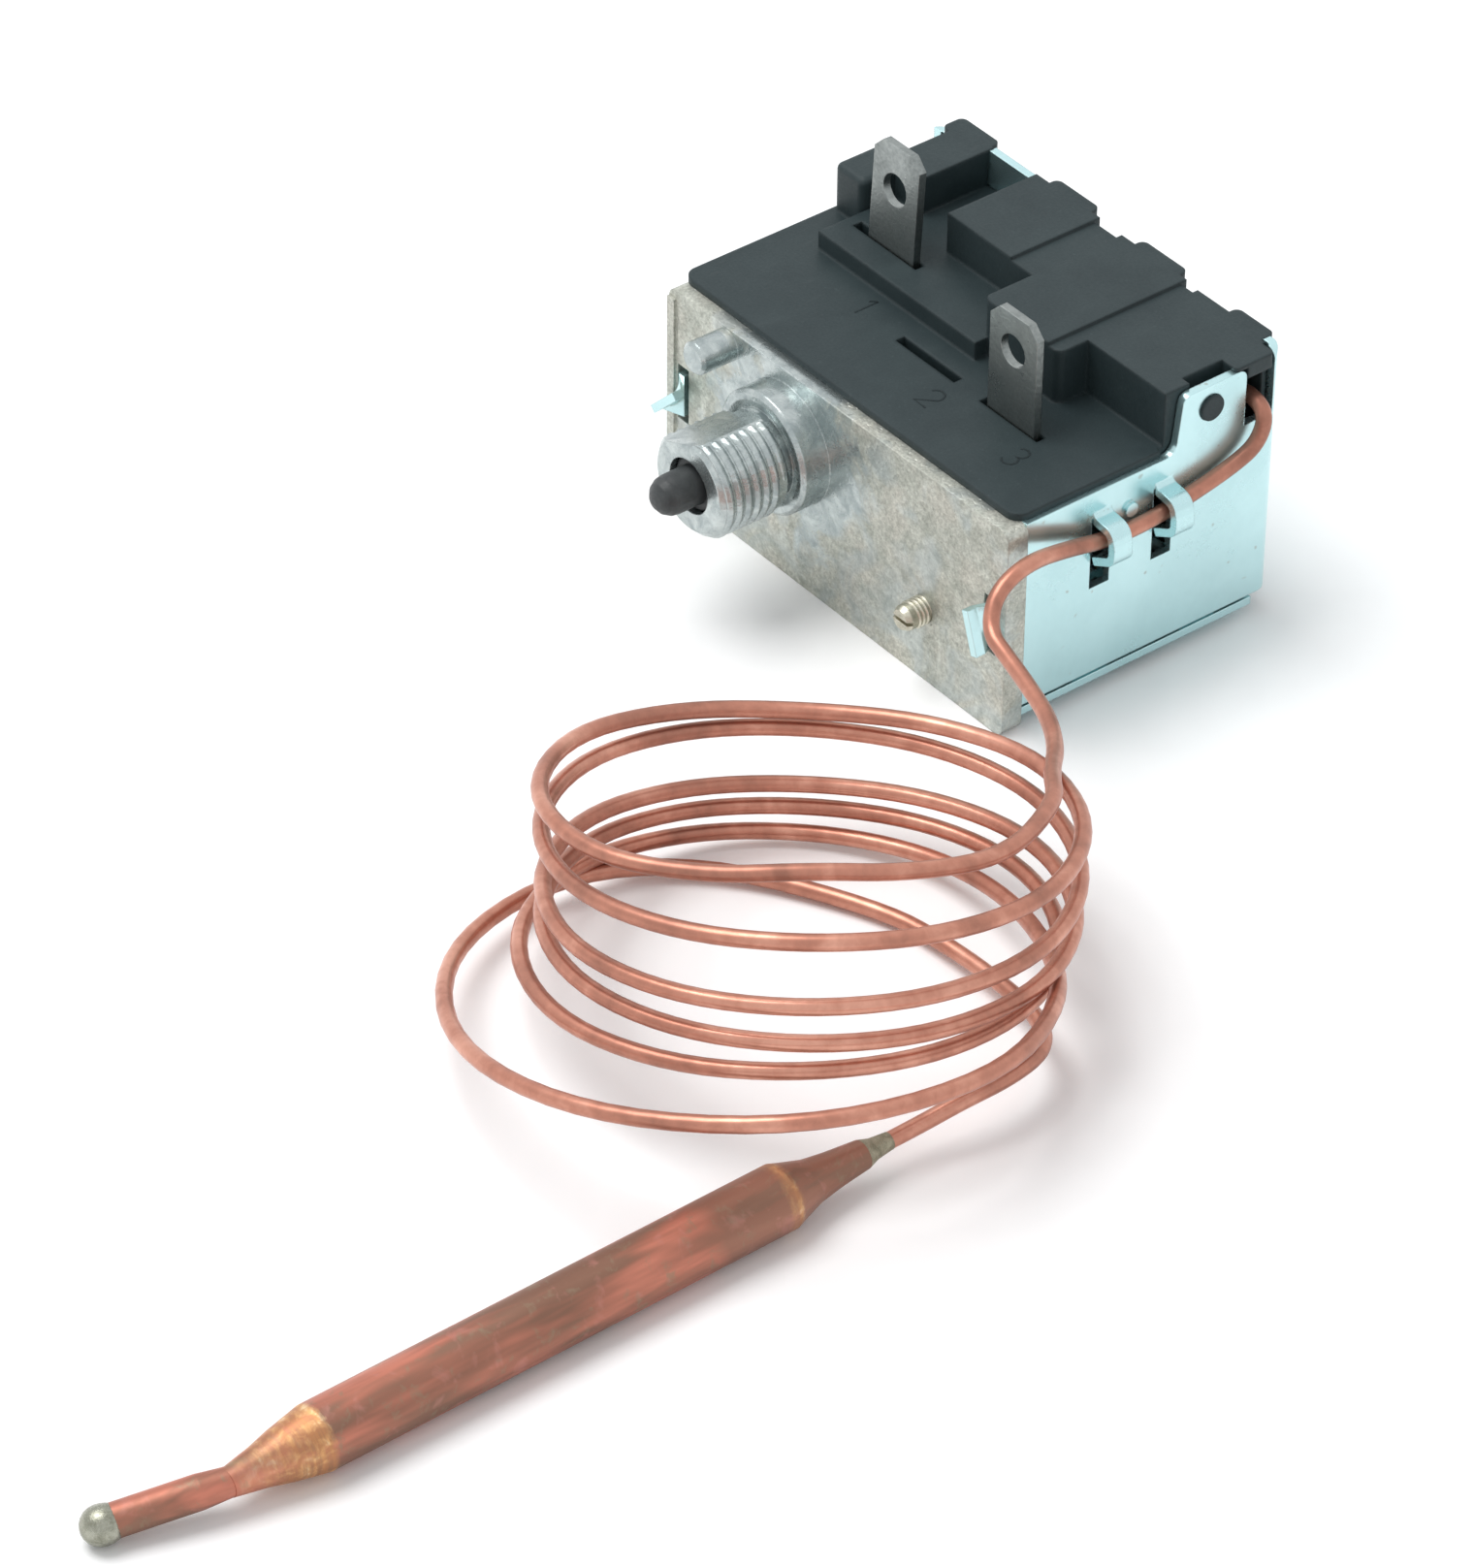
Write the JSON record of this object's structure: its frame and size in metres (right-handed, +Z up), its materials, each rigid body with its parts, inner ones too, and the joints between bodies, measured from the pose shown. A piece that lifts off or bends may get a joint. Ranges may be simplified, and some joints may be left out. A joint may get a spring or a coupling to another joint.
{
  "type": "water heater safety thermostat",
  "caption": "Safety limiter with a threaded bush, manual reset button, plug-in tabs and a copper capillary with a remote bulb.",
  "frame": {"origin": "middle of the box of the switch body, without the capillary and the bulb, at the surface that the front plate's lower edge and the bulb stand on", "axes": "+Z up through the terminal tabs, -Y along the threaded bush out of the front, +X the side with the capillary clips"},
  "size_m": [0.0947, 0.1508, 0.0353],
  "materials": {
    "casting": "grey zinc die casting, matt and mottled",
    "plated_sheet": "bright zinc-plated steel sheet with a pale blue cast",
    "moulding": "dark slate phenolic moulding with a fine grain",
    "nickel": "nickel-plated brass strip",
    "brass": "plain turned brass",
    "silver": "silver contact",
    "spring_bronze": "spring bronze strip",
    "steel": "plain steel",
    "spring_steel": "spring steel wire",
    "screw_steel": "yellowish zinc-plated steel",
    "ceramic": "glazed steatite",
    "button_moulding": "black moulding",
    "stainless": "stainless steel disc",
    "copper": "drawn copper, slightly tarnished",
    "bulb_copper": "annealed copper, streaked olive brown",
    "solder": "solder bead",
    "braze": "dull brazing alloy"
  },
  "bodies": {
    "housing": {"front_plate": "casting", "side_frame": "plated_sheet", "base_plate": "plated_sheet", "terminal_cover": "moulding", "terminal_tab_1": "nickel", "terminal_tab_3": "nickel", "terminal_rivet": "brass", "fixed_contact": "silver", "contact_pin": "steel", "contact_spring": "spring_steel", "spring_retainer": "steel", "reset_spring": "spring_steel", "lever_pin": "steel", "calibration_screw": "screw_steel", "spring_nut": "brass", "range_spring": "spring_steel", "diaphragm_capsule": "stainless", "capsule_cup": "brass", "capillary_lead": "copper", "capillary_coil": "copper", "capillary_tail": "copper", "bulb_body": "bulb_copper", "bulb_seal": "solder", "braze_collar": "braze"},
    "button": {"reset_button": "button_moulding", "button_clip": "spring_steel"},
    "lever": {"trip_lever": "plated_sheet"},
    "rod": {"push_rod": "ceramic"},
    "contact": {"contact_arm": "spring_bronze", "moving_contact": "silver"},
    "pin": {"thrust_pin": "ceramic"}
  },
  "joints": [
    {"name": "reset_press", "type": "slide", "parent": "housing", "child": "button", "axis": [0, 1, 0], "range_m": [0, 0.002], "stiffness_N_per_m": 600, "springref_m": -0.001, "deforming": ["reset_spring"]},
    {"name": "lever_turn", "type": "hinge", "parent": "housing", "child": "lever", "pos_m": [0.00137, 0.00755, 0.005], "axis": [-1, 0, 0], "range_deg": [0, 12.5], "deforming": ["range_spring"]},
    {"name": "rod_lift", "type": "slide", "parent": "housing", "child": "rod", "axis": [0, 0, -1], "range_m": [0, 0.0012]},
    {"name": "contact_turn", "type": "hinge", "parent": "housing", "child": "contact", "pos_m": [-0.01413, 0.01355, 0.0176], "axis": [0, 1, 0], "range_deg": [0, 3.7], "deforming": ["contact_spring"]},
    {"name": "thrust_slide", "type": "slide", "parent": "housing", "child": "pin", "axis": [0, 1, 0], "range_m": [0, 0.00125]}
  ],
  "couplings": [
    {"joint": "lever_turn", "follows": "reset_press", "rad_per_m": 107},
    {"joint": "rod_lift", "follows": "reset_press", "ratio": 0.59},
    {"joint": "contact_turn", "follows": "reset_press", "rad_per_m": 31.25},
    {"joint": "thrust_slide", "follows": "reset_press", "ratio": 0.6}
  ]
}
